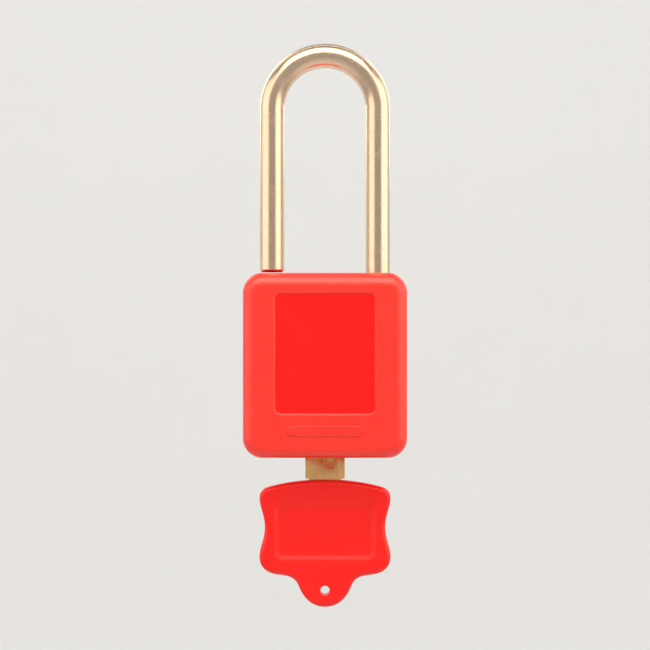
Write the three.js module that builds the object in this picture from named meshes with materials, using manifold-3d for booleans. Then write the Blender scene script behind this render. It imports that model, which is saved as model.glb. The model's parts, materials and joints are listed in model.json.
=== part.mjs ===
// Safety padlock: a nylon-bodied lockout padlock with a six-pin cylinder, its key turned to open and
// its spring-loaded shackle raised. Millimetres, +Z up, front facing -Y, the fixed heel leg at +X and
// the free toe leg at -X. Heights inside this file are measured up from the underside of the body; the
// whole assembly is then lowered so that the origin is the inner top of the raised shackle, where it hangs.
import * as THREE from "three";
import { mergeVertices } from "three/addons/utils/BufferGeometryUtils.js";
import Module from "manifold-3d";

const wasm = await Module();
wasm.setup();

// ---------------------------------------------------------------- driving dimensions

const GAP = 0.3; // clearance between neighbouring pieces
const ROUND = 24; // sides of an ordinary round piece
const CUT = 1; // how far a cutter runs past the surface it cuts

const BODY = {
  width: 40,
  depth: 20,
  height: 45,
  topCorner: 4.7,
  bottomCorner: 4.8,
  topEdge: 3.5,
  sideEdge: 3,
  bottomEdge: 2.4,
};
const PANEL = { width: 24.4, height: 29.3, belowTop: 5, corner: 1.6, recess: 0.35 };
const TAB = { halfWidth: 9.3, halfHeight: 1.3, centre: 6.6, rise: 0.2 };

const SHACKLE = { radius: 3, legX: 13, closedClearance: 38, stroke: 12.5, toeChamfer: 0.6, sides: 16 };
const NECK = { radius: 1.8, footHeight: 2 };
const TOE_SLOT = { depth: 1.8, bottomAboveTip: 2, height: 3 };
const RETAINER = { radius: 1, centreHeight: 26.8 };

const COVER = { halfWidth: 13.3, halfDepth: 7, corner: 3, thickness: 2 };
const SNAP = { x: 9.5, width: 2.4, inner: 4.5, outer: 5.9, top: 8, hook: 0.6, hookHeight: 1.6 };

const PLUG = { radius: 5.5, face: 0.3, step: 26, tailRadius: 4.9, top: 30.2, grooveRadius: 4 };
const HOUSING = { radius: 7.2, top: 28, towerX: 13.4, towerHalfWidth: 2.2 };
const CLIP = { radius: 6.4, thickness: 0.8, mouth: 3 };
const PINS = { count: 6, first: 6.2, pitch: 3.4, radius: 1.1, driverLength: 2.8, pointHeight: 0.6 };
const PIN_CLEARANCE = { chamber: 0.2, overKey: 0.25, underShear: 0.05 };
const KEY_CUTS = [2.9, 2.6, 1.8, 1.5, 0.9, 0.4]; // cut floors, out from the plug axis, bow to tip
const PIN_SPRING = { coil: 0.82, wire: 0.14, turns: 5, slack: 0.15, stepsPerTurn: 8, wireSides: 5 };
const STRIP = { x: 12.6, thickness: 0.6, halfWidth: 1.4, bottom: 4.8, top: 24.6 };
const SCREW = { x: 11.7, head: 1.6, headHeight: 1.6, shank: 0.95, engagement: 2.4, slot: 0.5 };
const TOE_BORE_FLOOR = 30.3;

const CAM = { pinOffset: 1.5, pinRadius: 1, disc: 5.4, discTop: 32.3, hub: 3.6, hubTop: 34.8 };
const TANG = { halfLength: 3.6, halfWidth: 1, depth: 1.9 };
const SLIDE = { thickness: 2.4, back: 5, front: -2, outer: 4.5, tongueTip: -10, tongueInner: 1.5 };
const YOKE_CLEARANCE = 0.42; // either side of the cam pin, which does not move in step with the slide

const SPRING = { coil: 2.35, wire: 0.3, turns: 6.5, seat: 3.4, stepsPerTurn: 12, wireSides: 6 };
const FOLLOWER = { radius: 2.9, thickness: 1.4, bossRadius: 1.7, bossLength: 2.3 };

const BLADE = { spine: 4.3, crest: 3.3, halfThickness: 1.1, tip: 25.3, neckHalfWidth: 4.85 };
const BLADE_SHOULDER = -0.4;
const CUT_FLAT = 0.8; // half the height of each cut's floor
const BLADE_GROOVE = { left: 0.4, right: 2.2, depth: 0.55, runOut: -3.2 };
const BOW = { top: -5.7, halfThickness: 2.5, edge: 1.2, lugHole: 1.15, lugHoleBelowTop: 27.1 };
const BOW_POCKET = { halfWidth: 10.7, top: 4.8, bottom: 17.2, depth: 0.55, corner: 1.2 };
const BOW_TANG = { halfWidth: 3.9, depth: 12.5 };

// ---------------------------------------------------------------- heights worked out from them

const raised = BODY.height + SHACKLE.closedClearance + SHACKLE.stroke; // inner top of the open shackle
const bowCentre = raised - (SHACKLE.legX - SHACKLE.radius);
const toeTip = BODY.height + GAP;
const toeSlotBottom = toeTip + TOE_SLOT.bottomAboveTip;
const slideBottom = CAM.hubTop + GAP;
const slideTop = slideBottom + SLIDE.thickness;
const neckBottom = RETAINER.centreHeight - RETAINER.radius - GAP;
const neckTop = RETAINER.centreHeight + RETAINER.radius + GAP + SHACKLE.stroke;
const heelTip = neckBottom - NECK.footHeight;
const followerTop = heelTip - GAP;
const followerBottom = followerTop - FOLLOWER.thickness;
const legBore = SHACKLE.radius + GAP;
const housingBottom = COVER.thickness + GAP;
const cylinderBore = HOUSING.radius + GAP;
const panelTop = BODY.height - PANEL.belowTop;

// ---------------------------------------------------------------- solids

function solid(geometry) {
  const bare = geometry.clone();
  bare.deleteAttribute("normal");
  bare.deleteAttribute("uv");
  const merged = mergeVertices(bare, 1e-4);
  return new wasm.Manifold(
    new wasm.Mesh({
      numProp: 3,
      vertProperties: new Float32Array(merged.attributes.position.array),
      triVerts: new Uint32Array(merged.index.array),
    }),
  );
}

function geometryOf(made) {
  const mesh = made.getMesh();
  const geometry = new THREE.BufferGeometry();
  geometry.setAttribute("position", new THREE.BufferAttribute(mesh.vertProperties, 3));
  geometry.setIndex(new THREE.BufferAttribute(mesh.triVerts, 1));
  return geometry;
}

function joined(first, ...others) {
  return others.reduce((sum, next) => sum.add(next), first);
}

function cut(block, ...tools) {
  return tools.reduce((rest, tool) => rest.subtract(tool), block);
}

function box(x0, x1, y0, y1, z0, z1) {
  const shape = new THREE.BoxGeometry(x1 - x0, y1 - y0, z1 - z0);
  shape.translate((x0 + x1) / 2, (y0 + y1) / 2, (z0 + z1) / 2);
  return solid(shape);
}

// A round rod standing along Z
function rod(radius, z0, z1, x = 0, y = 0, sides = ROUND) {
  const shape = new THREE.CylinderGeometry(radius, radius, z1 - z0, sides);
  shape.rotateX(Math.PI / 2);
  shape.translate(x, y, (z0 + z1) / 2);
  return solid(shape);
}

// A round rod lying along X
function rodAlongX(radius, x0, x1, z, sides = ROUND / 2) {
  const shape = new THREE.CylinderGeometry(radius, radius, x1 - x0, sides);
  shape.rotateZ(Math.PI / 2);
  shape.translate((x0 + x1) / 2, 0, z);
  return solid(shape);
}

// A profile of [radius, height] points, turned about Z
function turned(profile, sides = ROUND) {
  const points = profile.map(([radius, height]) => new THREE.Vector2(radius, height));
  return new THREE.LatheGeometry(points, sides).rotateX(Math.PI / 2);
}

// A prism drawn in XY, stood up so that the drawing's axes and its depth point along the given axes
const FRONT_VIEW = [[1, 0, 0], [0, 0, 1], [0, -1, 0]];
const SIDE_VIEW = [[0, 1, 0], [0, 0, 1], [1, 0, 0]];
const PLAN_VIEW = [[1, 0, 0], [0, 1, 0], [0, 0, 1]];

function prism(outline, from, to, view, options = {}) {
  const settings = { depth: to - from, bevelEnabled: false, curveSegments: 3, ...options };
  const shape = new THREE.ExtrudeGeometry(outline, settings);
  shape.translate(0, 0, from);
  const axes = view.map((axis) => new THREE.Vector3(...axis));
  return shape.applyMatrix4(new THREE.Matrix4().makeBasis(...axes));
}

// A rectangle with its own corner radius at the bottom and at the top
function roundedRectangle(x0, x1, y0, y1, low, high = low) {
  const shape = new THREE.Shape();
  shape.absarc(x1 - low, y0 + low, low, -Math.PI / 2, 0);
  shape.absarc(x1 - high, y1 - high, high, 0, Math.PI / 2);
  shape.absarc(x0 + high, y1 - high, high, Math.PI / 2, Math.PI);
  shape.absarc(x0 + low, y0 + low, low, Math.PI, 1.5 * Math.PI);
  return shape;
}

function regularPolygon(radius, sides) {
  const turn = (2 * Math.PI) / sides;
  const corner = (i) => new THREE.Vector2(radius * Math.cos(i * turn), radius * Math.sin(i * turn));
  return new THREE.Shape(Array.from({ length: sides }, (_, i) => corner(i)));
}

class Helix extends THREE.Curve {
  constructor(radius, length, turns) {
    super();
    this.radius = radius;
    this.length = length;
    this.turns = turns;
  }

  getPoint(t, target = new THREE.Vector3()) {
    const angle = 2 * Math.PI * this.turns * t;
    return target.set(this.radius * Math.cos(angle), this.radius * Math.sin(angle), this.length * t);
  }
}

function coilSpring({ coil, wire, turns, stepsPerTurn, wireSides }, length) {
  return new THREE.ExtrudeGeometry(regularPolygon(wire, wireSides), {
    steps: Math.round(turns * stepsPerTurn),
    extrudePath: new Helix(coil, length, turns),
    bevelEnabled: false,
  });
}

// ---------------------------------------------------------------- assembly

const assembly = new THREE.Group();
assembly.position.z = -raised;

const RED_NYLON = { color: 0xe8190f, roughness: 0.55, metalness: 0 };
const PLATED_STEEL = { color: 0xd9cdb6, roughness: 0.18, metalness: 1 };
const SPRING_STEEL = { color: 0x9a9a9c, roughness: 0.35, metalness: 1 };
const BRASS = { color: 0xc79a4b, roughness: 0.32, metalness: 1 };
const NICKEL_BRASS = { color: 0xcdb27c, roughness: 0.28, metalness: 1 };

function piece(name, shape, finish) {
  const geometry = shape.isBufferGeometry ? shape : geometryOf(shape);
  const mesh = new THREE.Mesh(geometry, new THREE.MeshStandardMaterial(finish));
  mesh.name = name;
  assembly.add(mesh);
  return mesh;
}

// ---------------------------------------------------------------- body and bottom cover

// The snap legs that hold the cover stand in the four solid corners beside the cylinder bore
const SNAP_CORNERS = [[-1, -1], [1, -1], [-1, 1], [1, 1]];

function snapLeg(sideX, sideY, room) {
  const half = SNAP.width / 2 + room;
  const x = sideX * SNAP.x;
  const across = (inner, outer) => [sideY * inner, sideY * outer].sort((a, b) => a - b);
  const foot = COVER.thickness - (room ? 0 : CUT);
  const top = SNAP.top + room;
  const hookBottom = SNAP.top - SNAP.hookHeight - room;
  const reach = SNAP.outer + SNAP.hook + room;
  const leg = box(x - half, x + half, ...across(SNAP.inner - room, SNAP.outer + room), foot, top);
  const hook = box(x - half, x + half, ...across(SNAP.inner, reach), hookBottom, top);
  return leg.add(hook);
}

function bodyBlank() {
  const { width, depth, height } = BODY;
  const front = roundedRectangle(-width / 2, width / 2, 0, height, BODY.bottomCorner, BODY.topCorner);
  const side = roundedRectangle(-depth / 2, depth / 2, 0, height, BODY.bottomEdge, BODY.topEdge);
  const plan = roundedRectangle(-width / 2, width / 2, -depth / 2, depth / 2, BODY.sideEdge);
  const fine = { curveSegments: 4 };
  return solid(prism(front, -depth / 2, depth / 2, FRONT_VIEW, fine))
    .intersect(solid(prism(side, -width / 2, width / 2, SIDE_VIEW)))
    .intersect(solid(prism(plan, 0, height, PLAN_VIEW)));
}

function bodyShell() {
  const half = PANEL.width / 2;
  const panel = roundedRectangle(-half, half, panelTop - PANEL.height, panelTop, PANEL.corner);
  const face = BODY.depth / 2;
  const panelFloor = face - PANEL.recess;
  const coverSeat = roundedRectangle(
    -COVER.halfWidth - GAP,
    COVER.halfWidth + GAP,
    -COVER.halfDepth - GAP,
    COVER.halfDepth + GAP,
    COVER.corner + GAP,
  );
  const towerSide = HOUSING.towerHalfWidth + GAP;
  const tongueNear = SLIDE.tongueInner - GAP;
  const tongueFar = SLIDE.outer + GAP;
  const channelEnd = SLIDE.tongueTip - 2 * CAM.pinOffset - GAP;
  const channelTop = slideTop + GAP;
  const channelBottom = slideBottom - GAP;
  const tower = [-HOUSING.towerX - GAP, 0, -towerSide, towerSide];
  const tab = roundedRectangle(
    -TAB.halfWidth,
    TAB.halfWidth,
    TAB.centre - TAB.halfHeight,
    TAB.centre + TAB.halfHeight,
    TAB.halfHeight,
  );
  const shell = cut(
    bodyBlank(),
    solid(prism(panel, panelFloor, face + CUT, FRONT_VIEW)),
    solid(prism(panel, -face - CUT, -panelFloor, FRONT_VIEW)),
    solid(prism(coverSeat, -CUT, housingBottom, PLAN_VIEW)),
    rod(cylinderBore, 0, channelTop),
    box(...tower, 0, HOUSING.top + GAP),
    rod(legBore, SPRING.seat, BODY.height + CUT, SHACKLE.legX),
    rod(legBore, TOE_BORE_FLOOR, BODY.height + CUT, -SHACKLE.legX),
    rod(SCREW.shank + GAP, HOUSING.top, TOE_BORE_FLOOR + CUT, -SCREW.x, 0, ROUND / 2),
    rodAlongX(RETAINER.radius + GAP, 0, SHACKLE.legX, RETAINER.centreHeight),
    box(channelEnd, 0, tongueNear, tongueFar, channelBottom, channelTop),
    ...SNAP_CORNERS.map(([x, y]) => snapLeg(x, y, GAP)),
  );
  return shell.add(solid(prism(tab, face - CUT, face + TAB.rise, FRONT_VIEW)));
}

piece("body_shell", bodyShell(), RED_NYLON);

function bottomCover() {
  const { halfWidth, halfDepth, corner, thickness } = COVER;
  const outline = roundedRectangle(-halfWidth, halfWidth, -halfDepth, halfDepth, corner);
  const plate = solid(prism(outline, 0, thickness, PLAN_VIEW));
  const legs = SNAP_CORNERS.map(([x, y]) => snapLeg(x, y, 0));
  return cut(joined(plate, ...legs), rod(PLUG.radius + GAP, -CUT, thickness + CUT));
}

piece("bottom_cover", bottomCover(), RED_NYLON);

// ---------------------------------------------------------------- shackle, its spring and its pin

// Up the toe leg in one step, over the bow in equal steps and down the heel leg in one step
class ShacklePath extends THREE.Curve {
  static bowSteps = 20;
  static steps = ShacklePath.bowSteps + 2;

  getPoint(t, target = new THREE.Vector3()) {
    const step = t * ShacklePath.steps;
    const turn = THREE.MathUtils.clamp((step - 1) / ShacklePath.bowSteps, 0, 1);
    const toeDrop = (1 - Math.min(step, 1)) * (bowCentre - toeTip);
    const heelDrop = Math.max(step - ShacklePath.steps + 1, 0) * (bowCentre - heelTip);
    const x = -SHACKLE.legX * Math.cos(turn * Math.PI);
    const z = bowCentre + SHACKLE.legX * Math.sin(turn * Math.PI) - toeDrop - heelDrop;
    return target.set(x, 0, z);
  }

  getPointAt(u, target) {
    return this.getPoint(u, target);
  }

  getTangentAt(u, target) {
    return this.getTangent(u, target);
  }
}

function shackle() {
  const rodGeometry = new THREE.ExtrudeGeometry(regularPolygon(SHACKLE.radius, SHACKLE.sides), {
    steps: ShacklePath.steps,
    extrudePath: new ShacklePath(),
    bevelEnabled: false,
  });
  const reach = SHACKLE.radius + CUT;
  const ring = [[NECK.radius, neckBottom], [reach, neckBottom], [reach, neckTop], [NECK.radius, neckTop]];
  const lead = reach - SHACKLE.radius + SHACKLE.toeChamfer;
  const chamfer = [[reach, -CUT], [reach, lead], [reach - lead - CUT, -CUT]];
  const closed = (profile) => [...profile, profile[0]];
  const neckTool = turned(closed(ring)).translate(SHACKLE.legX, 0, 0);
  const toeTool = turned(closed(chamfer)).translate(-SHACKLE.legX, 0, toeTip);
  const slotTop = toeSlotBottom + TOE_SLOT.height;
  const slotFloor = SHACKLE.radius - TOE_SLOT.depth;
  const slotX = [-SHACKLE.legX - reach, -SHACKLE.legX + reach];
  return cut(
    solid(rodGeometry),
    solid(neckTool),
    solid(toeTool),
    box(...slotX, slotFloor, reach, toeSlotBottom, slotTop),
  );
}

piece("shackle", shackle(), PLATED_STEEL);

function heelFollower() {
  const { radius, bossRadius, bossLength } = FOLLOWER;
  const bossBottom = followerBottom - bossLength;
  return turned([
    [0, bossBottom],
    [bossRadius, bossBottom],
    [bossRadius, followerBottom],
    [radius, followerBottom],
    [radius, followerTop],
    [0, followerTop],
  ]);
}

piece("heel_follower", heelFollower(), SPRING_STEEL).position.x = SHACKLE.legX;

const springBottom = SPRING.seat + SPRING.wire + GAP;
const springTop = followerBottom - SPRING.wire - GAP;
const shackleSpring = piece("shackle_spring", coilSpring(SPRING, springTop - springBottom), SPRING_STEEL);
shackleSpring.position.set(SHACKLE.legX, 0, springBottom);

// Slid outwards from the cylinder bore into the neck of the heel leg, and held there by the cylinder
const retainerInner = HOUSING.radius + 2 * GAP;
const retainerOuter = SHACKLE.legX - NECK.radius - GAP;
piece(
  "shackle_retaining_pin",
  rodAlongX(RETAINER.radius, retainerInner, retainerOuter, RETAINER.centreHeight),
  SPRING_STEEL,
);

// ---------------------------------------------------------------- cylinder housing and screw

const pinHeights = Array.from({ length: PINS.count }, (_, i) => PINS.first + i * PINS.pitch);
const chamberRadius = PINS.radius + PIN_CLEARANCE.chamber;
const plugBore = PLUG.radius + GAP;
const tailBore = PLUG.tailRadius + GAP;
const screwBottom = HOUSING.top - SCREW.engagement;

function cylinderHousing() {
  const { radius, top, towerX, towerHalfWidth } = HOUSING;
  const stripGroove = [-towerX - CUT, -STRIP.x + GAP, -STRIP.halfWidth - GAP, STRIP.halfWidth + GAP];
  const tower = box(-towerX, 0, -towerHalfWidth, towerHalfWidth, housingBottom, top);
  return cut(
    rod(radius, housingBottom, top).add(tower),
    rod(plugBore, 0, PLUG.step + GAP),
    rod(tailBore, PLUG.step, top + CUT),
    box(...stripGroove, STRIP.bottom - GAP, STRIP.top + GAP),
    rod(SCREW.shank + GAP, screwBottom - GAP, top + CUT, -SCREW.x, 0, ROUND / 2),
    ...pinHeights.map((z) => rodAlongX(chamberRadius, -STRIP.x, 0, z)),
  );
}

piece("cylinder_housing", cylinderHousing(), BRASS);

const stripSide = STRIP.halfWidth;
const stripBack = -STRIP.x - STRIP.thickness;
piece(
  "pin_spring_cover",
  box(stripBack, -STRIP.x, -stripSide, stripSide, STRIP.bottom, STRIP.top),
  BRASS,
);

function cylinderScrew() {
  const headBottom = TOE_BORE_FLOOR + GAP;
  const headTop = headBottom + SCREW.headHeight;
  const profile = [
    [0, screwBottom],
    [SCREW.shank, screwBottom],
    [SCREW.shank, headBottom],
    [SCREW.head, headBottom],
    [SCREW.head, headTop],
    [0, headTop],
  ];
  const reach = SCREW.head + CUT;
  const slotSide = SCREW.slot / 2;
  const slotFloor = headTop - SCREW.headHeight / 2;
  const driverSlot = box(-reach, reach, -slotSide, slotSide, slotFloor, headTop + CUT);
  return cut(solid(turned(profile, ROUND / 2)), driverSlot);
}

piece("cylinder_screw", cylinderScrew(), PLATED_STEEL).position.x = -SCREW.x;

// ---------------------------------------------------------------- plug, clip and cam

const bladeRoom = BLADE.halfThickness + GAP;
const clipBottom = HOUSING.top + GAP;
const clipTop = clipBottom + CLIP.thickness;
const grooveSlack = GAP / 2;

function cylinderPlug() {
  const { radius, face, step, tailRadius, top, grooveRadius } = PLUG;
  const profile = [
    [0, face],
    [radius, face],
    [radius, step],
    [tailRadius, step],
    [tailRadius, clipBottom - grooveSlack],
    [grooveRadius, clipBottom - grooveSlack],
    [grooveRadius, clipTop + grooveSlack],
    [tailRadius, clipTop + grooveSlack],
    [tailRadius, top],
    [0, top],
  ];
  const ridge = box(
    BLADE_GROOVE.left + GAP,
    BLADE_GROOVE.right - GAP,
    -bladeRoom - CUT,
    -BLADE.halfThickness + BLADE_GROOVE.depth - GAP,
    0,
    BLADE.tip + GAP,
  );
  const keyway = box(
    -BLADE.spine - GAP,
    BLADE.crest + GAP,
    -bladeRoom,
    bladeRoom,
    0,
    BLADE.tip + GAP,
  );
  const tangSide = TANG.halfWidth + GAP;
  return cut(
    solid(turned(profile)),
    keyway.subtract(ridge),
    ...pinHeights.map((z) => rodAlongX(chamberRadius, 0, radius + CUT, z)),
    box(-radius, radius, -tangSide, tangSide, top - TANG.depth - GAP, top + CUT),
  );
}

piece("cylinder_plug", cylinderPlug(), BRASS);

function retainingClip() {
  const ring = rod(CLIP.radius, clipBottom, clipTop);
  const inner = rod(PLUG.grooveRadius + GAP, clipBottom - CUT, clipTop + CUT);
  const side = CLIP.mouth / 2;
  const mouth = box(-side, side, 0, CLIP.radius + CUT, clipBottom - CUT, clipTop + CUT);
  return cut(ring, inner, mouth);
}

piece("plug_retaining_clip", retainingClip(), SPRING_STEEL);

function tailCam() {
  const discBottom = PLUG.top + GAP;
  const body = turned([
    [0, discBottom],
    [CAM.disc, discBottom],
    [CAM.disc, CAM.discTop],
    [CAM.hub, CAM.discTop],
    [CAM.hub, CAM.hubTop],
    [0, CAM.hubTop],
  ]);
  const { halfLength, halfWidth, depth } = TANG;
  return joined(
    solid(body),
    box(-halfLength, halfLength, -halfWidth, halfWidth, PLUG.top - depth, discBottom + CUT),
    rod(CAM.pinRadius, CAM.hubTop - CUT, slideTop - GAP, CAM.pinOffset, 0, ROUND / 2),
  );
}

piece("tail_cam", tailCam(), BRASS);

// ---------------------------------------------------------------- locking slide

// A plate with a cross slot for the cam pin, and a tongue that enters the slot in the back of the toe
function lockingSlide() {
  const { back, front, outer, tongueTip, tongueInner } = SLIDE;
  const slotSide = CAM.pinRadius + YOKE_CLEARANCE;
  const slotNear = -CAM.pinOffset - CAM.pinRadius - GAP;
  const slotFar = CAM.pinRadius + GAP;
  const plate = box(front, back, -outer, outer, slideBottom, slideTop);
  const tongue = box(tongueTip, front + CUT, tongueInner, outer, slideBottom, slideTop);
  const crossSlot = box(
    CAM.pinOffset - slotSide,
    CAM.pinOffset + slotSide,
    slotNear,
    slotFar,
    slideBottom - CUT,
    slideTop + CUT,
  );
  return cut(plate.add(tongue), crossSlot);
}

piece("locking_slide", lockingSlide(), SPRING_STEEL);

// ---------------------------------------------------------------- pin stacks

// The plug is turned to open, so its key pins face the heel side while the drivers stay in the tower
const keyPinOuter = PLUG.radius - PIN_CLEARANCE.underShear;
const driverInner = plugBore;
const driverOuter = driverInner + PINS.driverLength;
const pinSpringInner = driverOuter + PIN_SPRING.wire + PIN_SPRING.slack;
const pinSpringOuter = STRIP.x - PIN_SPRING.wire - PIN_SPRING.slack;

function pinAlongX(length) {
  const { radius, pointHeight } = PINS;
  const profile = [[0, 0], [radius / 3, 0], [radius, pointHeight], [radius, length], [0, length]];
  return turned(profile, ROUND / 2).rotateY(Math.PI / 2);
}

pinHeights.forEach((z, i) => {
  const keyPinInner = KEY_CUTS[i] + PIN_CLEARANCE.overKey;
  const keyPin = piece(`key_pin_${i + 1}`, pinAlongX(keyPinOuter - keyPinInner), BRASS);
  keyPin.position.set(keyPinInner, 0, z);

  const driver = piece(`driver_pin_${i + 1}`, pinAlongX(PINS.driverLength), PLATED_STEEL);
  driver.position.set(-driverInner, 0, z);
  driver.rotation.z = Math.PI;

  const coilShape = coilSpring(PIN_SPRING, pinSpringOuter - pinSpringInner);
  const pinSpring = piece(`pin_spring_${i + 1}`, coilShape.rotateY(-Math.PI / 2), SPRING_STEEL);
  pinSpring.position.set(-pinSpringInner, 0, z);
});

// ---------------------------------------------------------------- key

// The blade's outline: spine on one side, cuts that deepen step by step towards the tip on the other
function bladeOutline() {
  const { spine, crest, tip, neckHalfWidth } = BLADE;
  const outline = new THREE.Shape();
  outline.moveTo(-BOW_TANG.halfWidth, BOW.top - BOW_TANG.depth);
  outline.lineTo(BOW_TANG.halfWidth, BOW.top - BOW_TANG.depth);
  outline.lineTo(BOW_TANG.halfWidth, BOW.top + GAP);
  outline.lineTo(neckHalfWidth, BOW.top + GAP);
  outline.lineTo(neckHalfWidth, BLADE_SHOULDER);
  outline.lineTo(crest, BLADE_SHOULDER);
  outline.lineTo(crest, pinHeights[0] - 2 * CUT_FLAT);
  pinHeights.forEach((z, i) => {
    outline.lineTo(KEY_CUTS[i], z - CUT_FLAT);
    outline.lineTo(KEY_CUTS[i], z + CUT_FLAT);
  });
  outline.lineTo(-spine + CUT, tip);
  outline.lineTo(-spine, tip - 2 * CUT);
  outline.lineTo(-spine, BLADE_SHOULDER);
  outline.lineTo(-neckHalfWidth, BLADE_SHOULDER);
  outline.lineTo(-neckHalfWidth, BOW.top + GAP);
  outline.lineTo(-BOW_TANG.halfWidth, BOW.top + GAP);
  return outline;
}

function keyBlade() {
  const { halfThickness, tip } = BLADE;
  const { left, right, depth, runOut } = BLADE_GROOVE;
  const blank = solid(prism(bladeOutline(), -halfThickness, halfThickness, FRONT_VIEW));
  return cut(blank, box(left, right, -halfThickness - CUT, -halfThickness + depth, runOut, tip + CUT));
}

piece("key_blade", keyBlade(), NICKEL_BRASS);

// Half of the bow's outline from the middle of its arched top, down the waisted side, to the tip of
// the lug, as cubic curves: two handles and an end for each
const BOW_HALF = [
  [5, 0, 9.5, -0.6, 13.6, -1.7],
  [15.3, -2.1, 16.1, -2.9, 16.1, -4.4],
  [16.1, -6.8, 14.8, -8.6, 14.8, -11.6],
  [14.8, -14.6, 16.1, -16.4, 16.1, -18.9],
  [16.1, -21.6, 14.2, -23, 11.4, -23.3],
  [9.2, -23.5, 7.4, -23.9, 6.6, -25.8],
  [5.6, -28.4, 3.8, -31.2, 0, -31.2],
];

function bowOutline() {
  const outline = new THREE.Shape();
  outline.moveTo(0, BOW.top);
  const lowered = BOW_HALF.map((curve) => curve.map((value, i) => (i % 2 ? value + BOW.top : value)));
  lowered.forEach((curve) => outline.bezierCurveTo(...curve));
  const starts = [[0, BOW.top], ...lowered.map((curve) => curve.slice(4))];
  lowered
    .map(([ax, ay, bx, by], i) => [-bx, by, -ax, ay, -starts[i][0], starts[i][1]])
    .reverse()
    .forEach((curve) => outline.bezierCurveTo(...curve));
  return outline;
}

function keyBow() {
  const { top, halfThickness, edge } = BOW;
  const slab = prism(bowOutline(), -halfThickness + edge, halfThickness - edge, FRONT_VIEW, {
    curveSegments: 5,
    bevelEnabled: true,
    bevelThickness: edge,
    bevelSize: edge,
    bevelOffset: -edge,
    bevelSegments: 3,
  });
  const pocketTop = top - BOW_POCKET.top;
  const pocketBottom = top - BOW_POCKET.bottom;
  const wide = BOW_POCKET.halfWidth;
  const pocket = roundedRectangle(-wide, wide, pocketBottom, pocketTop, BOW_POCKET.corner);
  const pocketFloor = halfThickness - BOW_POCKET.depth;
  const lugHole = new THREE.Shape().absarc(0, top - BOW.lugHoleBelowTop, BOW.lugHole, 0, 2 * Math.PI);
  const slot = BOW_TANG.halfWidth + GAP;
  return cut(
    solid(slab),
    solid(prism(pocket, pocketFloor, halfThickness + CUT, FRONT_VIEW)),
    solid(prism(pocket, -halfThickness - CUT, -pocketFloor, FRONT_VIEW)),
    solid(prism(lugHole, -halfThickness - CUT, halfThickness + CUT, FRONT_VIEW)),
    box(-slot, slot, -bladeRoom, bladeRoom, top - BOW_TANG.depth - GAP, top + CUT),
  );
}

piece("key_bow", keyBow(), RED_NYLON);

const padlock = new THREE.Group();
padlock.add(assembly);

export default padlock;
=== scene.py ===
"""Looks of the safety padlock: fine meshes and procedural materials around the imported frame.

Lengths of the pieces are in millimetres and heights are measured up from the underside of the
body, as on a drawing of the padlock; made() turns them into metres in the frame. The studio at
the end is laid out in metres, in the frame itself.
"""

import json
import math

import bmesh
import bpy
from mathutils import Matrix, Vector

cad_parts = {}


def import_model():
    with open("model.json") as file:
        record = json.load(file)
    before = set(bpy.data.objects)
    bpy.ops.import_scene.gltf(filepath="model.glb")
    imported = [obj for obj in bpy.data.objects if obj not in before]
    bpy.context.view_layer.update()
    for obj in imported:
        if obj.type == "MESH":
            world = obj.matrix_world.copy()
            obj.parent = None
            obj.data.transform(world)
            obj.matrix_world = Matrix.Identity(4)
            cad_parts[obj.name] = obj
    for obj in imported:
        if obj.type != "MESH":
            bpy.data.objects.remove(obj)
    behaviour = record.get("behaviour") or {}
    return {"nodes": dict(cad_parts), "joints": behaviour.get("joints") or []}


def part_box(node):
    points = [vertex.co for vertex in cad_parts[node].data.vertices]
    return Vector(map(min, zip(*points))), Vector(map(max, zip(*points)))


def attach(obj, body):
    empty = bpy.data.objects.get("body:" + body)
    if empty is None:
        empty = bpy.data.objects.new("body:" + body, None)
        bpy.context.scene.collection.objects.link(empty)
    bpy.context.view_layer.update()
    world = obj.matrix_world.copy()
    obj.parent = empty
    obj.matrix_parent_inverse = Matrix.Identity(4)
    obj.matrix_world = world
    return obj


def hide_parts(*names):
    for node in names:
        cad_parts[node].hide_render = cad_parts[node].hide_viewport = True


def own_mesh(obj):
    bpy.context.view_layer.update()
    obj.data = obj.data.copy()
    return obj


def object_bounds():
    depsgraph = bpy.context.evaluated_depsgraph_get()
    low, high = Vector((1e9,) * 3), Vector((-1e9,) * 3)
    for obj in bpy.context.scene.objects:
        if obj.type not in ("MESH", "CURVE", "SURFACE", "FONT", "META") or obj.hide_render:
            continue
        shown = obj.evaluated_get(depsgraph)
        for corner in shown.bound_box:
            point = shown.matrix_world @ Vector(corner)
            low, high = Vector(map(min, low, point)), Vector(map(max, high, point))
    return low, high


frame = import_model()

MM = 0.001
CAD_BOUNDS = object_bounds()
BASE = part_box("body_shell")[0][2]  # the underside of the body in the frame, in metres
GAP = 0.3  # between pieces that lie or slide against each other
HOLDS = (0.12, 0.5)  # how far inside an edge lie the rings that keep a flat face flat
ROUND = 64  # sides of a turned piece
SMALL_ROUND = 32  # sides of a pin or a pin's bore


# ------------------------------------------------------------------ sizes read from the frame


def span(node):
    """(x0, x1, y0, y1, z0, z1) of a CAD node in drawing millimetres."""
    low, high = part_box(node)
    return (
        low[0] / MM,
        high[0] / MM,
        low[1] / MM,
        high[1] / MM,
        (low[2] - BASE) / MM,
        (high[2] - BASE) / MM,
    )


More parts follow.
